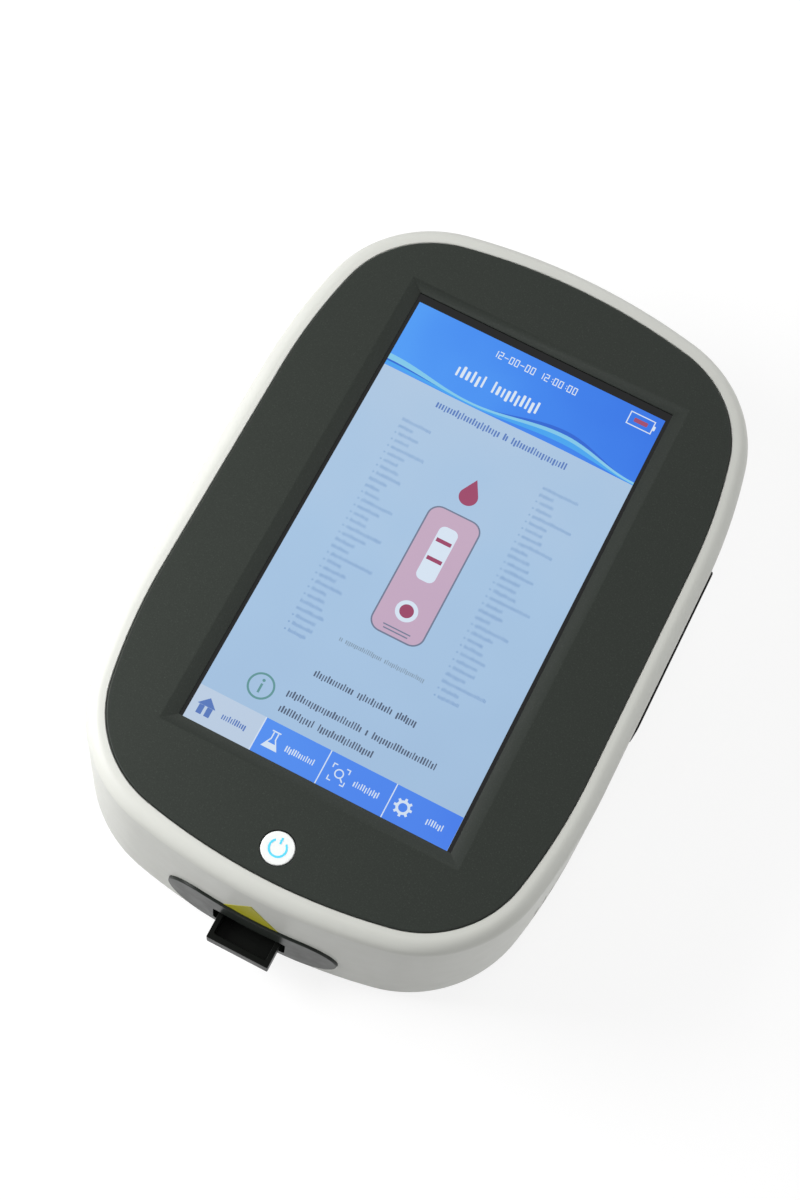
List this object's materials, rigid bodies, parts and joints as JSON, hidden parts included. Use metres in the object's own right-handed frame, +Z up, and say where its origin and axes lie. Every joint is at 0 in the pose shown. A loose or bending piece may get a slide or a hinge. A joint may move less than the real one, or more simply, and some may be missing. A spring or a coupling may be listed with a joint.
{
  "type": "rapid test reader",
  "caption": "Desktop rapid test reader: tablet-shaped casing with a bevelled touch screen, a motor-driven cassette tray at the front, a power button and a hinged port flap.",
  "frame": {"origin": "on the table surface, under the centre of the overall box", "axes": "+X to the right of a person facing the tray, +Y from the tray towards the rear wall, +Z up"},
  "size_m": [0.1558, 0.2364, 0.065],
  "materials": {
    "shell_plastic": "fine satin texture, off white",
    "cover_plastic": "fine matt texture, charcoal",
    "dark_plastic": "satin, near black",
    "marker_film": "plain printed film",
    "screen_glass": "polished",
    "gasket_foam": "closed-cell foam",
    "display_black": "gloss",
    "steel_sheet": "tinned sheet",
    "steel": "turned",
    "flex_film": "amber film",
    "brass_plated": "nickel-plated",
    "brass": "sintered",
    "circuit_board": "solder mask",
    "connector_plastic": "moulded",
    "aluminium": "bead-blasted",
    "motor_can": "plated",
    "optics_black": "matt black",
    "optical_glass": "polished",
    "filter_glass": "coated",
    "battery_wrap": "shrink wrap",
    "rubber": "moulded",
    "carriage_plastic": "moulded",
    "nut_plastic": "natural acetal",
    "button_plastic": "satin white"
  },
  "bodies": {
    "casing": {"main_shell": "shell_plastic", "base_cover": "shell_plastic", "battery_door": "shell_plastic", "top_cover": "cover_plastic", "slot_plate": "dark_plastic", "position_marker": "marker_film", "touch_glass": "screen_glass", "display_gasket": "gasket_foam", "display_panel": "display_black", "display_frame": "steel_sheet", "display_flex": "flex_film", "board_standoffs": "brass_plated", "main_board": "circuit_board", "processor_shield": "steel_sheet", "board_connectors": "connector_plastic", "usb_sockets": "steel_sheet", "service_socket": "steel_sheet", "port_flap_pin": "steel", "power_jack": "connector_plastic", "button_switch": "connector_plastic", "button_board": "circuit_board", "guide_rods": "steel", "front_rod_block": "aluminium", "rear_rod_block": "aluminium", "scan_deck": "aluminium", "screw_bearing": "brass", "motor_plate": "steel_sheet", "scan_motor": "motor_can", "home_sensor": "connector_plastic", "optics_bridge": "aluminium", "optics_block": "optics_black", "objective_lens": "optical_glass", "emission_filter": "filter_glass", "excitation_lamp": "optical_glass", "light_detector": "steel_sheet", "detector_board": "circuit_board", "battery_pack": "battery_wrap", "speaker": "connector_plastic", "rubber_feet": "rubber", "base_screws": "steel", "door_screws": "steel", "cover_screws": "steel", "frame_screws": "steel", "board_screws": "steel", "button_board_screws": "steel", "deck_screws": "steel", "bridge_screws": "steel"},
    "tray": {"cassette_tray": "dark_plastic", "tray_carriage": "carriage_plastic", "rod_bushes": "brass", "lead_nut": "nut_plastic", "tray_screws": "steel"},
    "drive_screw": {"lead_screw": "steel"},
    "power_key": {"power_button": "button_plastic", "switch_plunger": "connector_plastic"},
    "flap": {"port_flap": "dark_plastic"}
  },
  "joints": [
    {"name": "tray_slide", "type": "slide", "parent": "casing", "child": "tray", "axis": [0, -1, 0], "range_m": [-0.009, 0.05]},
    {"name": "screw_turn", "type": "hinge", "parent": "casing", "child": "drive_screw", "pos_m": [0.031, -0.05, 0.017], "axis": [0, 1, 0], "range_deg": [-810, 4500]},
    {"name": "button_press", "type": "slide", "parent": "casing", "child": "power_key", "axis": [0, 0, -1], "range_m": [0, 0.0008], "stiffness_N_per_m": 1200, "springref_m": -0.0001},
    {"name": "flap_turn", "type": "hinge", "parent": "casing", "child": "flap", "pos_m": [0.07567, 0.0249, 0.0282], "axis": [0, 1, 0], "range_deg": [0, 90]}
  ],
  "couplings": [
    {"joint": "screw_turn", "follows": "tray_slide", "rad_per_m": 1570.8}
  ]
}
